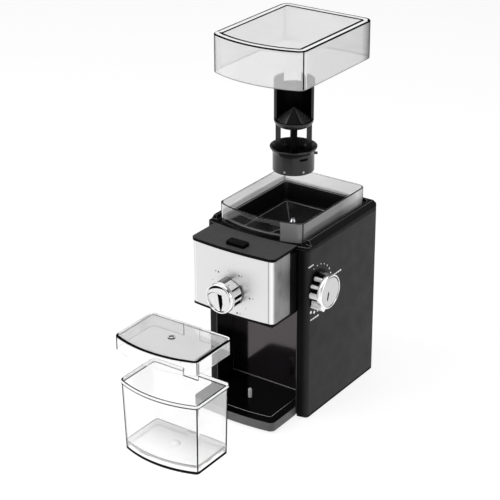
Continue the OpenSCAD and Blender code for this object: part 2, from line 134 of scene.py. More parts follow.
def bump(nt, b, height, strength, dist=0.0002):
    n = nt.nodes.new("ShaderNodeBump")
    n.inputs["Strength"].default_value = strength
    n.inputs["Distance"].default_value = dist
    nt.links.new(height, n.inputs["Height"])
    nt.links.new(n.outputs["Normal"], b.inputs["Normal"])


def shade(c, k):
    return tuple(min(1.0, x * k) for x in c)


def grey(v):
    return (v, v, v)


def plastic(name, col, rough, grain=900, depth=0.08, var=0.12, spec=0.5, coat=0.0):
    m, nt, b = tree(name)
    v = coords(nt)
    big = noise(nt, v, 14, 4)
    fine = noise(nt, v, grain, 2)
    nt.links.new(ramp(nt, big, [(0.3, shade(col, 1 - var)), (0.7, shade(col, 1 + var))]), b.inputs["Base Color"])
    nt.links.new(span(nt, noise(nt, v, 60, 5), rough * 0.88, rough * 1.12), b.inputs["Roughness"])
    b.inputs["Specular IOR Level"].default_value = spec
    b.inputs["Coat Weight"].default_value = coat
    b.inputs["Coat Roughness"].default_value = 0.08
    bump(nt, b, fine, depth)
    return m


def graded(m, axis, p0, p1, col, spec):
    """Turns a plastic's colour and gloss to another between two places along an axis."""
    nt = m.node_tree
    b = nt.nodes["Principled BSDF"]
    sp = nt.nodes.new("ShaderNodeSeparateXYZ")
    nt.links.new(coords(nt), sp.inputs["Vector"])
    mix = nt.nodes.new("ShaderNodeMix")
    mix.data_type = "RGBA"
    nt.links.new(span(nt, sp.outputs[axis], 0.0, 1.0, p0, p1), mix.inputs["Factor"])
    nt.links.new(b.inputs["Base Color"].links[0].from_socket, mix.inputs["A"])
    mix.inputs["B"].default_value = (*col, 1)
    nt.links.new(mix.outputs["Result"], b.inputs["Base Color"])
    nt.links.new(span(nt, sp.outputs[axis], b.inputs["Specular IOR Level"].default_value, spec, p0, p1), b.inputs["Specular IOR Level"])


def metal(name, col, rough, stretch=(1, 1, 1), grain=300, depth=0.02, var=0.06, aniso=0.0):
    m, nt, b = tree(name)
    v = coords(nt, stretch)
    f = noise(nt, v, grain, 4, 0.7)
    b.inputs["Metallic"].default_value = 1.0
    b.inputs["Anisotropic"].default_value = aniso
    nt.links.new(ramp(nt, f, [(0.3, shade(col, 1 - var)), (0.7, shade(col, 1 + var))]), b.inputs["Base Color"])
    nt.links.new(span(nt, f, rough * 0.8, rough * 1.25), b.inputs["Roughness"])
    bump(nt, b, f, depth, 0.0001)
    return m


def brushed(name):
    """Brushed sheet steel: fine level lines, a painted highlight paler along the bends, and painted shade with painted
    cloudy reflection darker on the flanks.
    """
    m, nt, b = tree(name)
    line = noise(nt, coords(nt, (3, 3, 500)), 8, 4, 0.7)
    painted_cloud_reflection = noise(nt, coords(nt, (1, 22, 13)), 3.0, 3, 0.6)
    b.inputs["Metallic"].default_value = 1.0
    b.inputs["Anisotropic"].default_value = 0.4
    tc = nt.nodes.new("ShaderNodeTexCoord")
    sp = nt.nodes.new("ShaderNodeSeparateXYZ")
    nt.links.new(tc.outputs["Normal"], sp.inputs["Vector"])
    ab = nt.nodes.new("ShaderNodeMath")
    ab.operation = "ABSOLUTE"
    nt.links.new(sp.outputs["X"], ab.inputs[0])
    # Painted light by face direction: paler at the bends, much darker on the flanks (painted shade), not the steel's
    # own colour.
    flank = ramp(nt, ab.outputs[0], [(0.0, grey(0.74)), (0.20, grey(0.76)), (0.5, grey(0.95)), (0.72, grey(0.88)), (0.93, grey(0.30))])
    mul = nt.nodes.new("ShaderNodeMix")
    mul.data_type = "RGBA"
    mul.blend_type = "MULTIPLY"
    mul.inputs["Factor"].default_value = 1.0
    nt.links.new(flank, mul.inputs["A"])
    nt.links.new(ramp(nt, painted_cloud_reflection, [(0.30, grey(0.72)), (0.5, grey(0.95)), (0.7, grey(1.0))]), mul.inputs["B"])
    mix = nt.nodes.new("ShaderNodeMix")
    mix.data_type = "RGBA"
    nt.links.new(span(nt, ab.outputs[0], 0.0, 1.0, 0.6, 0.95), mix.inputs["Factor"])
    nt.links.new(flank, mix.inputs["A"])
    nt.links.new(mul.outputs["Result"], mix.inputs["B"])
    nt.links.new(mix.outputs["Result"], b.inputs["Base Color"])
    nt.links.new(span(nt, line, 0.34, 0.46), b.inputs["Roughness"])
    bump(nt, b, line, 0.05, 0.0001)
    return m


def clear(name, col, trans, ior=1.46, rough=0.02, var=0.02, rim=None, fade=None):
    """Clear moulded plastic with a light veil; rim says how dark its thickness looks on the way to edge-on, fade shades it along Y."""
    m, nt, b = tree(name)
    v = coords(nt)
    b.inputs["Transmission Weight"].default_value = trans
    b.inputs["IOR"].default_value = ior
    b.inputs["Specular IOR Level"].default_value = 0.4
    tint = ramp(nt, noise(nt, v, 25, 3), [(0.3, shade(col, 1 - var)), (0.7, shade(col, 1 + var))])
    if fade:
        sp = nt.nodes.new("ShaderNodeSeparateXYZ")
        nt.links.new(v, sp.inputs["Vector"])
        tint = ramp(nt, span(nt, sp.outputs["Y"], 0.0, 1.0, fade[0], fade[1]), [(0.0, grey(fade[2])), (1.0, grey(fade[3]))])
    if rim:
        lw = nt.nodes.new("ShaderNodeLayerWeight")
        lw.inputs["Blend"].default_value = 0.5
        mix = nt.nodes.new("ShaderNodeMix")
        mix.data_type = "RGBA"
        nt.links.new(ramp(nt, lw.outputs["Facing"], [(p, grey(f)) for p, f in rim]), mix.inputs["Factor"])
        nt.links.new(tint, mix.inputs["A"])
        mix.inputs["B"].default_value = (0.02, 0.02, 0.02, 1)
        tint = mix.outputs["Result"]
    nt.links.new(tint, b.inputs["Base Color"])
    nt.links.new(span(nt, noise(nt, v, 50, 3), rough * 0.6, rough * 1.4), b.inputs["Roughness"])
    return m


BODY = plastic("body_plastic", grey(0.014), 0.48, grain=1600, depth=0.10, var=0.08, spec=0.16)
PILLAR = plastic("pillar_plastic", grey(0.004), 0.35, grain=1600, depth=0.06, spec=0.08)
RPILLAR = plastic("right_pillar_plastic", grey(0.003), 0.42, grain=1600, depth=0.06, spec=0.05)
# Painted highlight: the right pillar turns paler and glossier from x 63 mm to its outer edge at 69.5 mm.
graded(RPILLAR, "X", 0.0630, 0.0695, grey(0.014), 0.17)
# Painted shadow: the body fades to black and loses its gloss below z 4.3 mm, and is black from 3.7 mm down, for the gap
# shadow at its foot.
graded(BODY, "Z", 0.0043, 0.0037, grey(0.001), 0.0)
DECK = plastic("deck_plastic", grey(0.004), 0.16, grain=1600, depth=0.02, spec=0.06)
COVER = plastic("cover_plastic", grey(0.050), 0.5, grain=1800, depth=0.12, spec=0.2)
GLOSS = plastic("gloss_plastic", grey(0.003), 0.12, grain=500, depth=0.01, spec=0.3)
BAY = plastic("bay_plastic", (0.0042, 0.0034, 0.0042), 0.10, grain=400, depth=0.008, spec=0.90)
BAY.node_tree.nodes["Principled BSDF"].inputs["Specular Tint"].default_value = (1.0, 0.90, 0.95, 1)
BOWL = plastic("bowl_plastic", grey(0.003), 0.18, grain=900, depth=0.004, spec=0.3)
# The next two are pale greys given to rounded edges, ridges and beads: painted highlight lines.
GLINT = plastic("painted_edge_highlight_plastic", grey(0.13), 0.3, grain=900, depth=0.01, spec=0.5)
DIMLINE = plastic("painted_dim_edge_highlight_plastic", grey(0.05), 0.3, grain=900, depth=0.01, spec=0.5)
BLACK = plastic("black_plastic", grey(0.0012), 0.40, grain=1200, depth=0.03, spec=0.05)
PIN = plastic("pin_plastic", grey(0.50), 0.30, grain=600, depth=0.02, spec=0.5)
CARR = plastic("carrier_plastic", grey(0.012), 0.26, grain=1200, depth=0.05, spec=0.4)
# The tray's top faces are painted near-black for the dark reflection they show, a painted reflection; its sides are
# grey.
TRAYTOP = plastic("tray_top_plastic", grey(0.0015), 0.14, grain=900, depth=0.02, spec=0.04)
TRAYSIDE = plastic("tray_side_plastic", grey(0.075), 0.40, grain=1600, depth=0.10, spec=0.4)
# Pale grey for the tray's low step edge: a painted highlight line.
PALELINE = plastic("painted_step_highlight_plastic", grey(0.45), 0.3, grain=1600, depth=0.05)
INNER = plastic("inner_plastic", grey(0.04), 0.5)
RUBBER = plastic("rubber", grey(0.02), 0.8, grain=900, depth=0.25, spec=0.2)
BOARD = plastic("board", (0.02, 0.15, 0.06), 0.4, grain=250, depth=0.1)
INK = plastic("white_ink", grey(0.9), 0.5, var=0.03)
DARKINK = plastic("dark_ink", grey(0.02), 0.5)
CARBON = plastic("carbon", grey(0.03), 0.7)
# The next two are the black and pale grey lines painted along the clear shells' edges and corners: painted dark
# reflections.
EDGE = plastic("clear_edge", grey(0.004), 0.6, grain=300, depth=0.02, spec=0.0)
SOFTEDGE = plastic("clear_edge_pale", grey(0.20), 0.5, grain=300, depth=0.02, spec=0.0)
STEEL = brushed("brushed_steel")
CHROME = metal("chrome", grey(0.86), 0.06, grain=120, depth=0.004, var=0.02)
LOBE = metal("lobe_chrome", grey(0.95), 0.32, grain=200, depth=0.02, var=0.03)
BRIGHT = metal("bright_satin_chrome", grey(0.76), 0.24, grain=200, depth=0.02, var=0.05)
# The next two are darkened chrome for painted shade on the knobs' sides; the white plastic after them is their painted
# highlight.
SHADE_CHROME = metal("painted_shade_chrome", grey(0.17), 0.32, grain=200, depth=0.02, var=0.05)
DEEP_SHADE_CHROME = metal("painted_deep_shade_chrome", grey(0.10), 0.28, grain=200, depth=0.02, var=0.04)
WHITE = plastic("painted_highlight_white", grey(0.92), 0.3, grain=300, depth=0.02, var=0.02, spec=0.8)
SATIN = metal("satin_chrome", grey(0.62), 0.20, grain=200, depth=0.02, var=0.04)
TURNED = metal("turned_steel", (0.60, 0.60, 0.62), 0.25, stretch=(1, 1, 30), grain=60, depth=0.05)
# Dull steel for the carrier screws, also used as painted shade in the front panel's corner groove.
DULL_AND_GROOVE_SHADE = metal("dull_steel_and_groove_shade", grey(0.35), 0.35, grain=200, depth=0.03)
BURR = metal("burr_steel", (0.30, 0.30, 0.32), 0.36, grain=300, depth=0.08)
LAMI = metal("laminations", (0.35, 0.35, 0.37), 0.4, stretch=(1, 1, 1200), grain=2, depth=0.3)
COPPER = metal("copper", (0.62, 0.28, 0.12), 0.35, stretch=(1, 1, 1), grain=900, depth=0.3)
CAST = metal("cast_metal", (0.52, 0.52, 0.54), 0.5, grain=400, depth=0.25)
LIDWALL = clear("clear_lid_wall", grey(0.80), 0.70, rim=[(0.42, 0.0), (0.51, 0.20), (0.56, 1.0)])
LIDTOP = clear("clear_lid_top", grey(0.86), 0.62)
# A near-white, nearly opaque band painted on the clear rims: painted highlight.
LIDBAND = clear("clear_lid_band", grey(0.98), 0.15)
BOXWALL = clear("clear_box_wall", grey(0.97), 0.87, rim=[(0.58, 0.0), (0.62, 1.0)])
BOXFLOOR = clear("clear_box_floor", grey(0.8), 0.60, fade=(-0.262, -0.205, 0.95, 0.50))
BOXLID = clear("clear_box_lid_top", grey(0.74), 0.86)
COLLAR = clear("clear_collar_front", grey(0.95), 1.0, rim=[(0.54, 0.0), (0.60, 1.0)])
# Shaded and lit versions of the collar's clear plastic: the side one is painted a darker grey that pales towards the
# back (painted shade), the back one a whiter veil (painted light).
COLLARSIDE = clear("clear_collar_side", grey(0.42), 0.50, rim=[(0.54, 0.0), (0.60, 1.0)], fade=(0.012, 0.066, 0.31, 0.95))
COLLARBACK = clear("clear_collar_back", grey(0.99), 0.58, rim=[(0.58, 0.0), (0.66, 1.0)])
FLOOR = plastic("floor_paper", grey(0.25), 0.9, grain=40, depth=0.0, var=0.005, spec=0.1)


# ------------------------------------------------------------------ mesh helpers
class Bow:
    """Outline with straight sides, a front bowed forward and round corners, in millimetres."""
    NF, NC, NS, NB = 36, 8, 8, 20

    def __init__(s, w, yb, yf, b, rf, rb):
        s.w, s.yb, s.rf, s.rb = w, yb, rf, rb
        s.R = (w * w + b * b) / (2 * b)
        s.yC = yf - b + s.R

    def pts(s, d=0.0):
        nf, nc, ns, nb = s.NF, s.NC, s.NS, s.NB
        w, R, yb = s.w - d, s.R - d, s.yb - d
        rf, rb = max(s.rf - d, 0.2), max(s.rb - d, 0.2)
        xc = w - rf
        yc = s.yC - math.sqrt((R - rf) ** 2 - xc * xc)
        al = math.atan2(xc, s.yC - yc)
        P = []
        for i in range(nf + 1):
            t = -al + 2 * al * i / nf
            P.append((R * sin(t), s.yC - R * cos(t)))
        for i in range(1, nc + 1):
            a = -pi / 2 + al + (pi / 2 - al) * i / nc
            P.append((xc + rf * cos(a), yc + rf * sin(a)))
        for i in range(1, ns + 1):
            P.append((w, yc + (yb - rb - yc) * i / ns))
        for i in range(1, nc + 1):
            a = pi / 2 * i / nc
            P.append((w - rb + rb * cos(a), yb - rb + rb * sin(a)))
        for i in range(1, nb + 1):
            P.append(((w - rb) * (1 - 2 * i / nb), yb))
        for i in range(1, nc + 1):
            a = pi / 2 + pi / 2 * i / nc
            P.append((rb - w + rb * cos(a), yb - rb + rb * sin(a)))
        for i in range(1, ns + 1):
            P.append((-w, yb - rb + (yc - yb + rb) * i / ns))
        for i in range(1, nc):
            a = pi + (pi / 2 - al) * i / nc
            P.append((-xc + rf * cos(a), yc + rf * sin(a)))
        return P


C_FR, C_BR, C_BL, C_FL = 36, 52, 80, 96      # first column of each round corner, 8 columns each


def ring(outline, d, z):
    return [(x, y, z) for x, y in outline.pts(d)]


def arc(d0, z0, r, a0, a1, n=4):
    """(inset, z) pairs round a quarter edge: centre (d0, z0), radius r, angles in degrees."""
    return [(d0 - r * cos(rad(a0 + (a1 - a0) * i / n)), z0 + r * sin(rad(a0 + (a1 - a0) * i / n))) for i in range(n + 1)]


def mesh_obj(name, verts, faces, sharp=35, mats=None, index=None):
    me = bpy.data.meshes.new(name)
    me.from_pydata([(x * 0.001, y * 0.001, z * 0.001) for x, y, z in verts], [], faces)
    for m in mats or ():
        me.materials.append(m)
    if index:
        me.polygons.foreach_set("material_index", index)
    bm = bmesh.new()
    bm.from_mesh(me)
    bmesh.ops.remove_doubles(bm, verts=bm.verts, dist=1e-7)
    bmesh.ops.recalc_face_normals(bm, faces=bm.faces)
    bm.to_mesh(me)
    bm.free()
    smooth(me, sharp)
    o = bpy.data.objects.new(name, me)
    scene.collection.objects.link(o)
    return o


def smooth(me, sharp=35):
    me.polygons.foreach_set("use_smooth", [True] * len(me.polygons))
    me.set_sharp_from_angle(angle=rad(sharp))
    me.update()


def loft(name, rings, cap0=True, cap1=True, loop=False, sharp=35, mats=None, fm=None):
    """Skin over rings of equal length. fm(span, column) gives a face's material; the caps follow their spans."""
    n = len(rings[0])
    V = [p for r in rings for p in r]
    F, I = [], []
    m = len(rings)
    for k in range(m if loop else m - 1):
        a, b = k * n, ((k + 1) % m) * n
        for i in range(n):
            j = (i + 1) % n
            F.append((a + i, a + j, b + j, b + i))
            I.append(fm(k, i) if fm else 0)
    if cap0 and not loop:
        F.append(tuple(range(n))[::-1])
        I.append(fm(0, 0) if fm else 0)
    if cap1 and not loop:
        F.append(tuple(range((m - 1) * n, m * n)))
        I.append(fm(m - 2, 0) if fm else 0)
    return mesh_obj(name, V, F, sharp, mats, I if fm else None)


def turn(p, axis):
    x, y, z = p
    return p if axis == "z" else (x, -z, y) if axis == "-y" else (z, x, y)


def lathe(name, prof, n=96, axis="z", at=(0, 0, 0), sharp=30, wob=None, mats=None, fm=None):
    """Body of revolution about local +z, turned so that +z points along axis. wob(r, z, a) may bend it."""
    rings = []
    for r, z in prof:
        R = []
        for i in range(n):
            a = 2 * pi * i / n
            rr, zz = (r, z) if wob is None else wob(r, z, a)
            p = turn((rr * cos(a), rr * sin(a), zz), axis)
            R.append((p[0] + at[0], p[1] + at[1], p[2] + at[2]))
        rings.append(R)
    return loft(name, rings, sharp=sharp, mats=mats, fm=fm)


def place(o, body, mat, *nodes):
    if not o.data.materials:
        for m in mat if isinstance(mat, (list, tuple)) else [mat]:
            o.data.materials.append(m)
    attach(o, body)
    if nodes:
        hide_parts(*nodes)
    return o


def body_name(node):
    return NODES[node]["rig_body"]


def softened(node, mats, width=0.5, segs=2, angle=40, pick=None, edge=None, clamp=True):
    """A copy of a CAD piece with its sharp edges rounded over. pick(normal, centre) gives a face's material, edge is the rounded edges' own."""
    mats = list(mats) if isinstance(mats, (list, tuple)) else [mats]
    src = NODES[node].data
    me = bpy.data.meshes.new(node + "_soft")
    bm = bmesh.new()
    bm.from_mesh(src)
    bmesh.ops.remove_doubles(bm, verts=bm.verts, dist=2e-6)
    bmesh.ops.dissolve_limit(bm, angle_limit=rad(0.4), verts=bm.verts, edges=bm.edges, delimit=set())
    bmesh.ops.recalc_face_normals(bm, faces=bm.faces)
    for f in bm.faces:
        f.material_index = pick(f.normal, f.calc_center_median() * 1000) if pick else 0
    bm.to_mesh(me)
    bm.free()
    for m in mats + ([edge] if edge else []):
        me.materials.append(m)
    if "custom_normal" in me.attributes:
        me.attributes.remove(me.attributes["custom_normal"])
    o = bpy.data.objects.new(node + "_soft", me)
    scene.collection.objects.link(o)
    b = o.modifiers.new("round", "BEVEL")
    b.width = width * 0.001
    b.segments = segs
    b.limit_method = "ANGLE"
    b.angle_limit = rad(angle)
    b.use_clamp_overlap = clamp
    if edge:
        b.material = len(mats)
    smooth(me, 35)
    return place(o, body_name(node), mats, node)


def paint(node, mat):
    o = NODES[node]
    o.data.materials.clear()
    o.data.materials.append(mat)


def cut(o, *boxes):
    """Takes boxes (x0, x1, y0, y1, z0, z1) out of a piece; the cut faces take its first material."""
    for x0, x1, y0, y1, z0, z1 in boxes:
        V = [(x, y, z) for z in (z0, z1) for y in (y0, y1) for x in (x0, x1)]
        c = mesh_obj("cutter", V, [(0, 2, 3, 1), (4, 5, 7, 6), (0, 1, 5, 4), (2, 6, 7, 3), (0, 4, 6, 2), (1, 3, 7, 5)])
        md = o.modifiers.new("cut", "BOOLEAN")
        md.operation = "DIFFERENCE"
        md.solver = "EXACT"
        md.object = c
        dg = bpy.context.evaluated_depsgraph_get()
        me = bpy.data.meshes.new_from_object(o.evaluated_get(dg))
        o.modifiers.clear()
        o.data = me
        bpy.data.objects.remove(c)
        smooth(me, 35)


# ------------------------------------------------------------------ clear pieces
def corners(fr, br, bl, fl):
    """Columns of the four upright corners, each given as a range of eighths."""
    return {c + k for c, (a, b) in ((C_FR, fr), (C_BR, br), (C_BL, bl), (C_FL, fl)) for k in range(a, b)}


# Corner columns of the clear shells painted as dark lines: painted reflection.
SLIM = corners((4, 5), (1, 3), (4, 5), (4, 6))


def shell(name, body, nodes, mats, rows, make, dark, outer, loop=False, cuts=(), by_col=None):
    """Clear shell from rows of (inset, z, material of the span that follows). dark columns on the outer spans get
    material 0, the painted dark edge line, and by_col may change a column's.
    """
    kinds = [r[2] for r in rows]

    def fm(k, i):
        if kinds[k] in outer and i in dark:
            return 0
        return by_col(abs(kinds[k]), i) if by_col else abs(kinds[k])
    o = loft(name, [make(d, z) for d, z, k in rows], loop=loop, mats=mats, fm=fm)
    if cuts:
        cut(o, *cuts)
    place(o, body, mats, *nodes)
    o.visible_shadow = False
    o.visible_glossy = False
    return o


def spans(points, kind):
    return [(d, z, kind) for d, z in points]


# Spans of painted light on the clear rims: dark edge lines (painted reflection) and white bands (painted highlight),
# each on the far or the near side.
FAR, NEAR, FARLINE, FARBAND = 5, 6, 7, 8   # lines that show only on the far or the near side


def lines(m, i):
    far = 51 < i < 96
    if m == FAR:
        return 0 if far else 3
    if m == NEAR:
        return 3 if far else 0
    if m == FARLINE:
        return 0 if far else 1
    if m == FARBAND:
        return 3 if far else 1
    return m


# hopper lid, lifted 180.4 mm above its seat
Z = 180.4 + 222.6
lid = Bow(60.3, 70.9, -73, 13, 10.5, 10.5)
W, T, B, E, S = 1, 2, 3, 0, 4
OUT = -1                                   # outer wall: material 1, with dark corners
rows = [(14, Z + 42.5, T), (4.4, Z + 42.5, T), (3.4, Z + 42.5, W), (2.6, Z + 42.2, W), (2.1, Z + 41.4, W), (2, Z + 40.5, W), (2, Z + 39.7, W), (2, Z + 1.4, W), (2, Z + 0.6, W),
        (1.7, Z, S), (0.3, Z, S), (0, Z + 0.4, S), (0, Z + 1.0, OUT), (0, Z + 1.8, OUT), (0, Z + 20, OUT), (0, Z + 42.5, OUT), (0, Z + 43.1, E)]
a = arc(1.4, Z + 43.1, 1.4, 0, 90, 6)
rows += spans(a[1:6], E) + [(1.4, Z + 44.5, FAR), (3.1, Z + 44.5, B), (5.9, Z + 44.5, NEAR), (8.2, Z + 44.5, E), (9.4, Z + 44.5, E), (9.9, Z + 43.85, T), (10.6, Z + 43.8, T), (14, Z + 43.8, T)]
shell("hopper_lid_shell", "hopper_lid", ["hopper_lid"], [EDGE, LIDWALL, LIDTOP, LIDBAND, SOFTEDGE], rows, lambda d, z: ring(lid, d, z), SLIM, {OUT}, by_col=lines)

# hopper collar
col = Bow(57.6, 68.4, -67, 11.5, 9, 9)
a, b = arc(0.6, 243.9, 0.6, 0, 90, 4), arc(1.4, 243.9, 0.6, 90, 180, 4)
rows = [(0, 221, OUT), (0, 243.2, OUT)] + spans(a[:4], E) + [(*a[4], W)] + spans(b[:3], W) + spans(b[3:4], E) + [(*b[4], W), (2, 243.2, W), (2, 221, W)]
# The collar's walls are painted by column: the right end of the front and the right side take the darker side version
# (painted shade), the back and the left side the whiter back version (painted light).
shell("hopper_collar_wall", "grinder_body", ["hopper_collar"], [EDGE, COLLAR, COLLARSIDE, COLLARBACK], rows, lambda d, z: ring(col, d, z), SLIM, {OUT}, loop=True,
      by_col=lambda m, i: m if m == 0 or i < 29 or i > 95 else 2 if i < 52 else 3)


# container, pulled out 147 mm
def con_ring(d, z):
    t = (z - 15.7) / 83.7
    o = Bow(50.5 + 1.9 * t, -57.2 + 1.6 * t - 147, -113.8 - 1.6 * t - 147, 10.2 + 0.5 * t, 5 + 0.5 * t, 5 + 0.5 * t)
    return [(x, y, z) for x, y in o.pts(d)]


rows = [(14, 25.9, T), (3.6, 25.9, T), (2.6, 26.3, S), (2.05, 27.4, W), (2.0, 28.2, W), (2.0, 99.6, FARLINE), (2.0, 100.9, FARBAND), (2.0, 102.7, B), (1.9, 103.1, B), (1.6, 103.4, NEAR),
        (-0.1, 103.4, FAR), (-0.85, 103.2, FAR), (-0.98, 102.8, B), (-0.98, 100.9, E), (-0.98, 99.9, E), (-0.8, 99.6, E), (0, 98.9, OUT), (0, 98.1, OUT), (0, 60, OUT), (0, 30, OUT),
        (0, 19.8, E), (0, 16.8, S), (0, 16.2, S), (0.4, 15.7, S), (1.6, 15.7, W), (2.0, 16.2, W), (2.0, 22.8, W), (2.9, 23.7, T), (14, 23.7, T)]
# The container's corner columns, and four columns inside its back-right corner, are painted as dark lines: painted
# reflection.
shell("container_shell", "container", ["container"], [EDGE, BOXWALL, BOXFLOOR, LIDBAND, SOFTEDGE], rows, con_ring, corners((3, 5), (0, 4), (0, 0), (2, 8)), {OUT}, by_col=lambda m, i: 0 if m == W and C_BR <= i < C_BR + 4 else lines(m, i),
      cuts=[(-10.5, 10.5, -217, -197, 94.1, 110), (-6, 6, -217, -197, 10, 23.7)])
dome = [(9 * cos(rad(a)), 20.8 + 9 * sin(rad(a))) for a in (33.5, 40, 48, 56, 64, 72, 80, 86, 89.7)]
dome = [(7 * cos(rad(a)), 20.8 + 7 * sin(rad(a))) for a in (89.7, 82, 72, 62, 52, 46)] + dome
o = lathe("container_dome", dome, 48, at=(0, -236.5, 0), mats=[BOXFLOOR])
place(o, "container", BOXFLOOR)
o.visible_shadow = False

# container lid, lifted 53 mm above its seat
Z = 106.4 + 53
cl = Bow(55.4, -52.5 - 147, -118.48 - 147, 11, 7, 7)
rows = [(14, Z - 2, T), (4.2, Z - 2, T), (3.2, Z - 2, W), (2.2, Z - 2.4, W), (1.5, Z - 3.2, W), (1.5, Z - 3.9, W), (1.5, Z - 16.3, W), (1.5, Z - 17.0, W), (1.1, Z - 17.4, S), (0.4, Z - 17.4, S),
        (0, Z - 17.0, OUT), (0, Z - 16.3, OUT), (0, Z - 1.9, OUT), (0, Z - 1.3, E)]
a = arc(1.3, Z - 1.3, 1.3, 0, 90, 6)
rows += spans(a[1:6], E) + [(1.3, Z, NEAR), (2.7, Z, T), (4.2, Z, S), (4.9, Z - 0.35, T), (5.6, Z - 0.35, T), (14, Z - 0.35, T)]
# The container lid's corner columns are painted as dark lines: painted reflection.
o = shell("container_lid_shell", "container_lid", ["container_lid"], [EDGE, BOXWALL, BOXLID, LIDBAND, SOFTEDGE], rows, lambda d, z: ring(cl, d, z), corners((4, 5), (0, 4), (0, 0), (4, 8)), {OUT}, by_col=lines,
          cuts=[(-11, 11, -206, -196, 140, Z - 2.2)])
for f in o.data.polygons:
    if f.normal.z < -0.9 and abs(f.center.z * 1000 - Z + 2.2) < 0.05:
        f.material_index = 1
boss = [(2.6, Z - 0.3), (2.6, Z + 0.9), (2.8, Z + 1.1), (4.0, Z + 1.1), (4.2, Z + 0.9), (4.2, Z - 0.3)]
n = 40
rings = [[(r * cos(2 * pi * i / n), -236.5 + r * sin(2 * pi * i / n), z) for i in range(n)] for r, z in boss]
# The boss is mostly in the black edge material, a painted dark ring; two of its spans stay clear.
o = loft("container_lid_boss", rings, loop=True, mats=[BOXWALL, EDGE], fm=lambda k, i: 0 if k in (2, 5) else 1)
place(o, "container_lid", BOXWALL)
o.visible_shadow = False


# ------------------------------------------------------------------ hopper bowl: upright wall, ledge and funnel, with painted highlight lines on the rim, ledge and funnel edges
b_out, b_in, b_led = Bow(55.4, 66.2, -64.8, 11.2, 6.8, 6.8), Bow(52.6, 63.4, -62, 10.9, 5.2, 5.2), Bow(48.5, 59.4, -58, 10, 4, 4)
turns = [math.atan2(y, x) for x, y in b_led.pts()]


def circle(r, z):
    return [(r * cos(t), r * sin(t), z) for t in turns]


def between(a, b, t):
    return [tuple(p + (q - p) * t for p, q in zip(u, v)) for u, v in zip(a, b)]


top, low = ring(b_led, 0, 202.3), circle(31, 188.1)
rows = [(circle(32.5, 184), 0), (ring(Bow(54.4, 65.2, -63.8, 11, 6, 6), 0, 200), 0), (ring(b_out, 0, 200.05), 0), (ring(b_out, 0, 226.5), 1), (ring(b_out, 0.45, 227), 0),
        (ring(b_in, -1.0, 227), 1), (ring(b_in, -0.3, 226.85), 1), (ring(b_in, 0, 226.2), 0), (ring(b_in, 0, 204.2), 0), (ring(b_in, 0.35, 203.35), 0), (ring(b_in, 1.2, 203), 0),
        (ring(b_led, -1.0, 203), 1), (ring(b_led, -0.25, 202.85), 1), (top, 2), (between(top, low, 0.33), 2), (between(top, low, 0.67), 2), (low, 1), (circle(28.9, 188.05), 1), (circle(28.7, 187.6), 0), (circle(28.7, 184), 0)]
ridge = {c + k for c in (C_FR, C_BR, C_BL, C_FL) for k in (3, 4)}
o = loft("hopper_bowl_shell", [r for r, k in rows], loop=True, mats=[BOWL, GLINT, DIMLINE], fm=lambda k, i: (2 if i in ridge else 0) if rows[k][1] == 2 else rows[k][1])
place(o, "grinder_body", BOWL, "hopper_bowl")

# ------------------------------------------------------------------ steel front panel and the lip below it
def u_path(w, yb, yf, b, rf, d, groove=0.0):
    """Open outline round the head: right flank, corner, bowed front, corner, left flank, inset by d."""
    R = (w * w + b * b) / (2 * b)
    yC = yf - b + R
    xc = w - rf
    yc = yC - math.sqrt((R - rf) ** 2 - xc * xc)
    al = math.atan2(xc, yC - yc)
    P = [(w - d, yb + (yc - yb) * i / 6) for i in range(6)]
    for i in range(13):
        a = -(pi / 2 - al) * i / 12
        P.append((xc + (rf - d) * cos(a), yc + (rf - d) * sin(a)))
    N = 48
    g = 0.5 / R
    P[-1] = (R - d) * sin(al + 0.0), yC - (R - d) * cos(al)
    front = [al - g, al - 2 * g, al - 3 * g] + [al - 3 * g - 2 * (al - 3 * g) * i / N for i in range(1, N)] + [3 * g - al, 2 * g - al, g - al]
    for k, t in enumerate(front):
        q = R - d - (groove if k in (1, len(front) - 2) else 0)
        P.append((q * sin(t), yC - q * cos(t)))
    for i in range(13):
        a = -(pi / 2 - al) * (12 - i) / 12
        P.append((-xc - (rf - d) * cos(a), yc + (rf - d) * sin(a)))
    P += [(d - w, yc + (yb - yc) * i / 6) for i in range(1, 7)]
    return P


rings = []
for z, d in ((142.0, 0.25), (142.15, 0.05), (142.4, 0), (160, 0), (180, 0), (200, 0), (218.2, 0), (218.45, 0.05), (218.6, 0.25)):
    out = u_path(56.3, -91.2, -123.9, 3.5, 6, d, 0.3)
    inn = u_path(56.3, -91.2, -123.9, 3.5, 6, 0.9)
    rings.append([(x, y, z) for x, y in out + inn[::-1]])
# The two faces of the right-hand corner groove take the darker dull steel: painted shade in the groove.
place(loft("steel_panel", rings, sharp=28, mats=[STEEL, DULL_AND_GROOVE_SHADE], fm=lambda k, i: 1 if i in (19, 20) else 0), "grinder_body", STEEL, "steel_front_panel")
rings = [[(x, y, z) for x, y in u_path(56.3, -91.2, -123.9, 3.5, 6, d)] for z, d in ((138.98, 0.5), (139.1, 0.15), (139.4, 0), (141.5, 0), (141.9, 0.35))]
place(loft("head_lip", rings), "grinder_body", BLACK)


def panel_y(x):
    R = (56.3 ** 2 + 3.5 ** 2) / 7
    return -127.4 + R - math.sqrt(R * R - x * x)


# ------------------------------------------------------------------ knobs
def ease(a, b, x):
    t = max(0.0, min(1.0, (x - a) / (b - a)))
    return t * t * (3 - 2 * t)


def bend(a, c):
    return (a - c + pi) % (2 * pi) - pi


def flutes(a, table):
    """How deep the flutes (angle, half width, depth) cut at angle a."""
    return max([d * (1 - ease(0.45, 1.0, abs(bend(a, rad(c))) / rad(w))) for c, w, d in table])


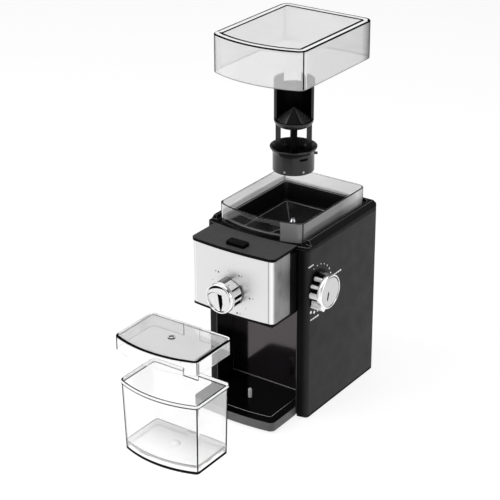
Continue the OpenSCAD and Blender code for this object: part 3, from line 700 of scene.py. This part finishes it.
def knob_piece(name, fr, h, side, rim, axis, at, body, node, dark, face, slot_at, ring_at, skin, front, shady, shade_span, pale, foot):
    """Knob: fluted sides of radius side(a), a rim that rim(a) may push out, and a face with its relief and slot."""
    rows = [("p", 3.2, 0), ("b", -0.7, 0), ("b", -0.2, 0.15), ("b", 0, 0.5), ("b", 0, 1.5), ("b", 0, 3), ("b", 0, h * 0.4), ("b", 0, h - 7.4), ("b", 0, h - 6.7),
            ("p", fr - 0.7, h - 6.3), ("p", fr - 0.15, h - 5.8), ("p", fr, h - 5.2), ("p", fr, h - 1.8), ("p", fr - 0.3, h - 1.0), ("p", fr - 0.8, h - 0.35), ("p", fr - 1.4, h),
            ("p", fr - 2.1, h), ("p", fr - 2.3, h - 0.25), ("p", fr - 2.4, h - 0.9), ("p", fr - 3.4, h - 0.9), ("p", fr - 3.5, h - 0.5)]
    k0 = len(rows)
    r = fr - 3.7
    while r > 0.25:
        rows.append(("f", r, h - 0.45))
        r -= 0.42
    rows.append(("f", 0.05, h - 0.45))
    n = 288
    rings = []
    for kind, r, z in rows:
        R = []
        for i in range(n):
            a = 2 * pi * i / n
            rr, zz = r, z
            if kind == "b":
                rr = side(a) + r
            if kind != "f" and 0 < z < h - 0.9 and r > -0.6:
                rr = max(rr, rim(a))
            if kind == "f":
                zz = z + face(r * cos(a), r * sin(a))
            p = turn((rr * cos(a), rr * sin(a), zz), axis)
            R.append((p[0] + at[0], p[1] + at[1], p[2] + at[2]))
        rings.append(R)

    # Painted light by angle: the dark flute angles, the foot span near the base and the ring groove at ring_at angles
    # are black (painted shade); slot_at faces are black (painted shade in the face's recesses); the upper shade span
    # takes the shady chrome (painted shade); the pale span takes the lobe chrome or white plastic (painted highlight).
    def fm(k, i):
        a = 2 * pi * (i + 0.5) / n
        if k0 - 5 < k < k0 - 1:
            return 1 if ring_at(math.degrees(a)) else 2
        if k >= k0 - 1:
            r = (rows[k][1] + rows[min(k + 1, len(rows) - 1)][1]) / 2
            return 1 if slot_at(r * cos(a), r * sin(a)) else 2
        if 0 < k < 8:
            if any(abs(bend(a, rad(c))) < rad(w) for c, w in dark) or (k < 4 and abs(bend(a, rad(foot[0]))) < rad(foot[1])):
                return 1
            return 3 if shade_span[0] < math.degrees(a) < shade_span[1] else 4 if pale[0] < math.degrees(a) < pale[1] else 0
        return 0
    o = loft(name, rings, sharp=32, mats=[skin, BLACK, front, shady, LOBE if skin == CHROME else WHITE], fm=fm)
    return place(o, body, CHROME, node)


def inside(x, y, cx, cy, r):
    return r - math.hypot(x - cx, y - cy)


def along(y, pts):
    """x of a broken line at height y; the points go upwards."""
    for (y0, x0), (y1, x1) in zip(pts, pts[1:]):
        if y < y1:
            break
    return x0 + (x1 - x0) * (y - y0) / (y1 - y0)


def grip(x, y):
    """How far a point is inside the dark wedge, and inside the shallow hollow to its left."""
    left, right = along(y, [(-14.5, 1.6), (-5.1, -0.2), (5.9, -1.9)]), along(y, [(-14.5, 3.2), (-5.1, 5.2), (5.9, 4.0)])
    return min(x - left, right - x, 5.6 - y), min(inside(x, y, -4.8, -6.6, 12.9), left - x)


# Faces painted black: painted shade in the groove arc at the top of the face, in the wedge recess and along a thin line
# round the hollow.
def front_slot(x, y):
    t = math.degrees(math.atan2(y, x))
    if 62 < t < 142 and math.hypot(x, y) > 14.5 - 1.7 * cos(rad((t - 102) * 2.25)):
        return True
    return grip(x, y)[0] > 0 or (-0.35 < inside(x, y, -4.8, -6.6, 12.9) < 0.45 and x < 0 and y > 0.5)


def front_face(x, y):
    w, h = grip(x, y)
    return -2.4 * ease(0, 0.4, w) if w > 0 else -0.9 * ease(0, 0.35, h)


# The slot's faces are painted black: painted shade in the recess.
def side_slot(x, y):
    u, v = (x + 4.6) * cos(0.28) - (y + 4.0) * sin(0.28), (x + 4.6) * sin(0.28) + (y + 4.0) * cos(0.28)
    return abs(u) < 1.35 * math.sqrt(max(0.0, 1 - (v / 5.6) ** 2)) + 0.02 and abs(v) < 5.6


def side_face(x, y):
    return -1.8 if side_slot(x, y) else -0.25 * ease(17, 4, math.hypot(x, y))


FRONT_FLUTES = [(38.5, 3.5, 1.0), (6, 6, 2.4), (-21, 8, 2.6)] + [(c, 7, 2.4) for c in (-55, -85, -115, -145, -175, 155)]
SIDE_FLUTES = [(c, 14.5, 4.2) for c in (166, 206, 258, 292, 326, 359, 33, 67, 100, 134)]


def front_side(a):
    q = abs(bend(a, rad(67)))
    r = min(17.4, 15.4 / cos(q)) if q < rad(60) else 17.4
    return r - flutes(a, FRONT_FLUTES)


def side_side(a):
    return 20.0 - flutes(a, SIDE_FLUTES)


def pointer(a):
    return 24.0 * (1 - ease(rad(6.5), rad(9.5), abs(bend(a, rad(232)))))


# The angle lists and spans in these calls place the knobs' painted shade and painted highlight.
knob_piece("front_knob_chrome", 18.3, 21.8, front_side, lambda a: 0.0, "-y", (0, -128.2, 169.6), "front_knob", "front_knob",
           [(38.5, 2.5), (6, 6), (-21, 11)] + [(c, 6) for c in (-55, -85, -115, -145, -175, 155)], front_face, front_slot, lambda t: t < 20 or 40 < t < 150 or 245 < t < 295, CHROME, BRIGHT, SHADE_CHROME, (82, 150), (40, 84), (-15, 55))
knob_piece("side_knob_chrome", 20.6, 16.6, side_side, pointer, "x", (71.4, -54.9, 164.1), "side_knob", "side_knob",
           [(c, 9) for c in (166, 206, 258, 292, 326, 359, 33, 67, 100, 134)], side_face, side_slot, lambda t: 20 < t < 130, LOBE, SATIN, DEEP_SHADE_CHROME, (88, 114), (114, 250), (166, 0))
o = lathe("front_knob_dot", [(0.02, 0), (0.75, 0), (0.75, 0.16), (0.6, 0.22), (0.02, 0.22)], 20, "z", (0, 0, 0), mats=[DARKINK])
d = Vector((cos(rad(67)), 0, sin(rad(67))))
Mx = Matrix.Translation(Vector((0, -0.1385, 0.1696)) + d * 0.01535) @ d.to_track_quat("Z", "Y").to_matrix().to_4x4()
o.data.transform(Mx)
place(o, "front_knob", DARKINK)


# ------------------------------------------------------------------ printed marks
def digit(txt, x, z, size):
    c = bpy.data.curves.new("figure_" + txt, "FONT")
    c.body, c.size, c.extrude, c.align_x, c.align_y = txt, size * 0.001, 0.00004, "CENTER", "CENTER"
    t = bpy.data.objects.new("figure_" + txt, c)
    scene.collection.objects.link(t)
    me = bpy.data.meshes.new_from_object(t.evaluated_get(bpy.context.evaluated_depsgraph_get()))
    bpy.data.objects.remove(t)
    me.name = "figure_" + txt
    for v in me.vertices:
        a, b, h = v.co
        xx = a + x * 0.001
        v.co = (xx, panel_y(xx * 1000) * 0.001 - h, b + z * 0.001)
    me.update()
    o = bpy.data.objects.new("figure_" + txt, me)
    scene.collection.objects.link(o)
    return place(o, "grinder_body", DARKINK)


for k in range(9):
    t = rad(-69.5 + 33 * k)
    x, z = 26.0 * cos(t), 169.6 + 26.0 * sin(t)
    big = k % 2 == 0
    r = 1.1 if big else 0.5
    lathe_dot = lathe("panel_dot_%d" % k, [(0.02, -0.05), (r, -0.05), (r, 0.05), (r * 0.8, 0.08), (0.02, 0.08)], 20, "-y", (x, panel_y(x), z), mats=[DARKINK])
    place(lathe_dot, "grinder_body", DARKINK)
    if big:
        digit(str(k // 2 * 2 + 2), x + 4.0 * (1 if cos(t) > -0.2 else -1), z + 0.2, 3.4)


def prism(name, outline, x0, h, mat, body):
    n = len(outline)
    rings = [[(x0 - 0.05, y, z) for y, z in outline], [(x0 + h * 0.6, y, z) for y, z in outline]]
    cy, cz = sum(p[0] for p in outline) / n, sum(p[1] for p in outline) / n
    rings.append([(x0 + h, y + (cy - y) * 0.06, z + (cz - z) * 0.06) for y, z in outline])
    return place(loft(name, rings), body, mat)


def capsule(y0, y1, z, r, n=8):
    P = [(y1 + r * cos(rad(-90 + 180 * i / n)), z + r * sin(rad(-90 + 180 * i / n))) for i in range(n + 1)]
    return P + [(y0 + r * cos(rad(90 + 180 * i / n)), z + r * sin(rad(90 + 180 * i / n))) for i in range(n + 1)]


# groups of short level strokes at the three ends of the side scale
for g, (y0, y1, z) in enumerate(((-19.5, -8.7, 33.0), (34.7, 51, 3.2), (-14.3, 3.7, -35.6))):
    m = 4
    step = (y1 - y0) / m
    for k in range(m):
        a, b = y0 + step * k + 0.25, y0 + step * (k + 1) - 0.25
        rr = 0.75 + 0.12 * k
        prism("side_scale_%d_%d" % (g, k), capsule(-54.9 + a + rr, -54.9 + b - rr, 164.1 + z, rr), 70.0, 0.15, INK, "grinder_body")

# bead where the tray meets the bay's back wall, in pale grey: a painted highlight line
bead = [(-45.1, 15.0), (-46.0, 15.02), (-45.9, 15.35), (-45.6, 15.7), (-45.1, 15.95)]
place(loft("bay_bead", [[(x, y, z) for y, z in bead] for x in (-54.8, -20, 20, 54.8)]), "grinder_body", GLINT)

# ------------------------------------------------------------------ carried-over CAD pieces
softened("outer_shell", [BODY, PILLAR, RPILLAR], 0.6, 3, pick=lambda n, c: (2 if c.x > 0 else 1) if n.y < -0.35 else 0)
# The deck's rounded edges take a dim grey: painted highlight lines.
softened("top_deck", DECK, 0.5, 2, edge=DIMLINE, clamp=False)
softened("bay_liner", [BAY, GLOSS], 0.3, pick=lambda n, c: 1 if abs(n.x) > 0.5 else 0)
# Tray faces: near-black top (painted reflection), pale step edge above z 15.05 mm (painted highlight), grey sides.
softened("base_tray", [TRAYTOP, TRAYSIDE, PALELINE], 0.45, 3, pick=lambda n, c: 0 if n.z > 0.7 else 2 if c.z > 15.05 else 1)
softened("head_housing", PILLAR, 0.4)
# The cover's top keeps the grey plastic; its sides are painted black: painted shade.
softened("head_cover", [COVER, BLACK], 0.7, 3, pick=lambda n, c: 0 if n.z > 0.7 else 1)
softened("start_button", [DECK, BLACK], 0.6, 3, pick=lambda n, c: 0 if n.z > 0.7 else 1)
softened("side_dial_plate", BLACK, 0.2)


def carrier_shade(n, c):
    """Painted shade: the slot, the inside of the shield, the front of the cone and the leg below it are painted black.
    """
    r, t = math.hypot(c.x, c.y), bend(math.atan2(c.y, c.x), rad(-55))
    if 293.5 < c.z < 296.5 and r < 24.1 and abs(t) < rad(60):
        return 1
    if c.z > 336 and r < 20.6 and (n.x * c.x + n.y * c.y < 0 or abs(t) < rad(26)):
        return 1
    return 1 if 284 < c.z < 331.8 and r < 21 and abs(t) < rad(30) else 0


softened("burr_carrier", [CARR, BLACK], 0.35, pick=carrier_shade)


def coil(node, at, r, wire, h, turns):
    """Coil spring standing at a point."""
    n, m = turns * 24, 10
    rings = []
    for i in range(n + 1):
        a, z = 2 * pi * turns * i / n, wire + (h - 2 * wire) * i / n
        rings.append([(at[0] + (r + wire * cos(q)) * cos(a), at[1] + (r + wire * cos(q)) * sin(a), at[2] + z - wire * sin(q)) for q in (2 * pi * j / m for j in range(m))])
    o = place(loft(node + "_coil", rings, mats=[TURNED]), "grinder_body", TURNED, node)
    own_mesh(o)


coil("start_spring", (0, -112.5, 203), 3.4, 0.35, 13.9, 6)
coil("pin_spring", (0, -89.5, 3.7), 3.2, 0.3, 7.9, 6)
for n, m in dict(base_plate=BODY, rubber_feet=RUBBER, base_screws=TURNED, tray_cover=INNER, side_dial_marks=INK, side_bush=TURNED,
                 rack_guide=INNER, grinding_chamber=INNER, chamber_screws=TURNED, grounds_chute=BAY, motor_stator=LAMI, motor_coils=COPPER,
                 motor_top_bracket=CAST, motor_bottom_bracket=CAST, motor_mounts=RUBBER, top_bearing=TURNED, bottom_bearing=TURNED,
                 brush_holders=INNER, carbon_brushes=CARBON, timer_switch=INNER, start_switch=INNER, safety_switch=INNER,
                 control_board=BOARD, board_parts=INNER, cord_gland=RUBBER, front_spindle=TURNED, side_spindle=TURNED,
                 side_pinion=INNER, adjust_rack=INNER, adjust_ring=INNER, drive_shaft=TURNED, rotor=LAMI, commutator=COPPER, cooling_fan=INNER,
                 impeller=INNER, lower_burr=BURR, burr_nut=TURNED, upper_burr=BURR, carrier_screws=DULL_AND_GROOVE_SHADE, interlock_pin=PIN).items():
    paint(n, m)

# ------------------------------------------------------------------ floor and light
floor = mesh_obj("floor", [(-9000, -9000, 0), (9000, -9000, 0), (9000, 9000, 0), (-9000, 9000, 0)], [(0, 1, 2, 3)])
floor.data.materials.append(FLOOR)
FLOOR.node_tree.nodes["Principled BSDF"].inputs["Emission Color"].default_value = (1, 1, 1, 1)
FLOOR.node_tree.nodes["Principled BSDF"].inputs["Emission Strength"].default_value = 0.82

# pale low walls all round, dark above
world = bpy.data.worlds.new("studio")
scene.world = world
world.use_nodes = True
wt = world.node_tree
tc = wt.nodes.new("ShaderNodeTexCoord")
sp = wt.nodes.new("ShaderNodeSeparateXYZ")
wt.links.new(tc.outputs["Generated"], sp.inputs["Vector"])
wr = wt.nodes.new("ShaderNodeValToRGB")
wr.color_ramp.elements[0].position = 0.20
wr.color_ramp.elements[0].color = (0.85, 0.85, 0.85, 1)
wr.color_ramp.elements[1].position = 0.36
wr.color_ramp.elements[1].color = (0.12, 0.12, 0.12, 1)
wt.links.new(sp.outputs["Z"], wr.inputs["Fac"])
wt.links.new(wr.outputs["Color"], wt.nodes["Background"].inputs["Color"])
wt.nodes["Background"].inputs["Strength"].default_value = 1.0


def softbox(name, loc, aim, size, power, size_y=None):
    d = bpy.data.lights.new(name, "AREA")
    d.shape = "RECTANGLE"
    d.size = size
    d.size_y = size_y or size
    d.energy = power
    o = bpy.data.objects.new(name, d)
    scene.collection.objects.link(o)
    o.location = loc
    o.rotation_euler = (Vector(aim) - Vector(loc)).to_track_quat("-Z", "Y").to_euler()
    return o


softbox("key", (-1.3, -1.5, 1.6), (0, -0.05, 0.15), 2.0, 30)
softbox("top", (0.1, -0.1, 2.4), (0, -0.05, 0.1), 2.0, 30)
softbox("side", (2.0, -0.2, 1.0), (0, 0, 0.15), 1.0, 8)
